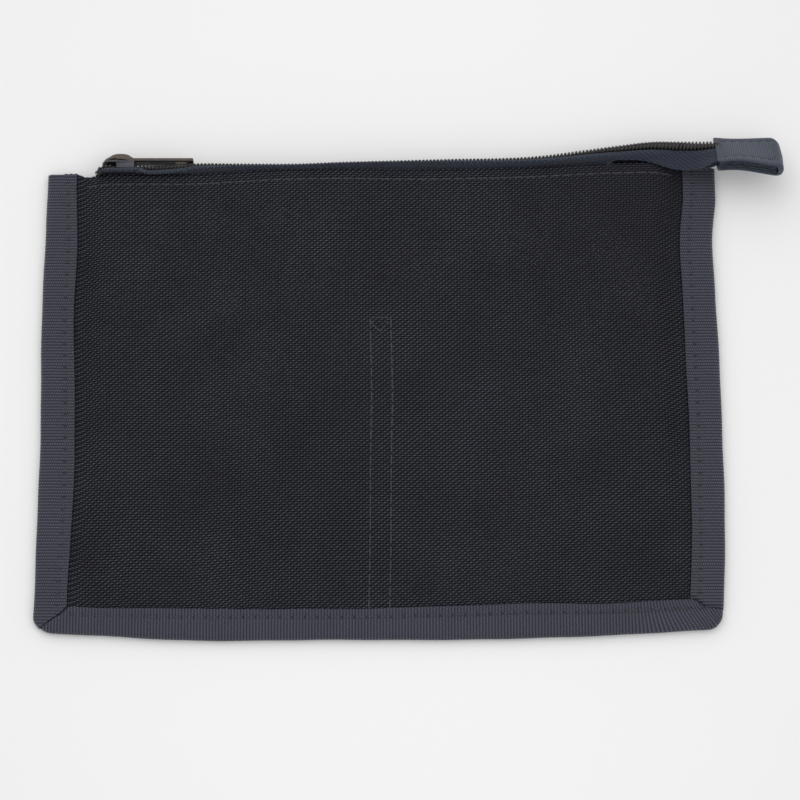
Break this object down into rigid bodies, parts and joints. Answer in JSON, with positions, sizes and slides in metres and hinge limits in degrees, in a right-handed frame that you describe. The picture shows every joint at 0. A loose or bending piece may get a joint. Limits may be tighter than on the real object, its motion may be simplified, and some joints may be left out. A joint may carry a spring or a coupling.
{
  "type": "zip pouch",
  "caption": "Flat mesh zip pouch for pens and pencils, with bound edges, two inner slip pockets and a free zip tail with a folded tab.",
  "frame": {"origin": "centre of the back wall's rest face, which the pouch lies on", "axes": "+X along the zip towards its free tail, +Y from the bottom seam to the zip, +Z out of the front wall"},
  "size_m": [0.2027, 0.1389, 0.0122],
  "materials": {
    "mesh_cloth": "open woven nylon mesh",
    "binding_tape": "ribbed grosgrain",
    "zip_tape": "herringbone zip tape",
    "zip_coil": "satin nylon coil",
    "slider_metal": "dark satin enamel",
    "tab_ribbon": "finely ribbed ribbon",
    "sewing_thread": "polyester thread"
  },
  "bodies": {
    "root": {"back_mesh_panel": "mesh_cloth", "left_binding": "binding_tape", "right_binding": "binding_tape", "bottom_binding": "binding_tape", "left_binding_stitching": "sewing_thread", "right_binding_stitching": "sewing_thread", "bottom_binding_stitching": "sewing_thread", "back_zipper_tape": "zip_tape", "back_coil": "zip_coil", "back_hem_stitching": "sewing_thread"},
    "front_wall": {"front_mesh_panel": "mesh_cloth", "inner_pocket_panel": "mesh_cloth", "front_zipper_tape": "zip_tape", "front_coil": "zip_coil", "front_hem_stitching": "sewing_thread", "divider_left_stitching": "sewing_thread", "divider_right_stitching": "sewing_thread", "divider_bartack": "sewing_thread"},
    "slider": {"slider_body": "slider_metal", "slider_crown": "slider_metal"},
    "pull": {"pull_tab": "slider_metal"},
    "tail": {"tail_front_tape": "zip_tape", "tail_back_tape": "zip_tape", "tail_front_coil": "zip_coil", "tail_back_coil": "zip_coil", "tail_end_tab": "tab_ribbon", "tab_front_stitching": "sewing_thread", "tab_back_stitching": "sewing_thread"}
  },
  "joints": [
    {"name": "slider_travel", "type": "slide", "parent": "root", "child": "slider", "axis": [0.9994, 0.0359, 0], "range_m": [0, 0.1418], "deforming": ["back_coil", "back_zipper_tape"]},
    {"name": "mouth_open", "type": "hinge", "parent": "root", "child": "front_wall", "pos_m": [0, -0.056, 0.0018], "axis": [1, 0, 0], "range_deg": [0, 12], "deforming": ["front_mesh_panel", "inner_pocket_panel", "front_zipper_tape", "front_coil"]},
    {"name": "pull_swing", "type": "hinge", "parent": "slider", "child": "pull", "pos_m": [-0.07175, 0.06861, 0.00475], "axis": [0, 0, 1], "range_deg": [0, 170]},
    {"name": "tail_bend", "type": "hinge", "parent": "root", "child": "tail", "pos_m": [0.08315, 0.0712, 0.006], "axis": [0, 0, 1], "range_deg": [-45, 60], "deforming": ["tail_front_tape", "tail_back_tape", "tail_front_coil", "tail_back_coil"]}
  ],
  "couplings": [
    {"joint": "mouth_open", "follows": "slider_travel", "rad_per_m": 1.4769}
  ]
}
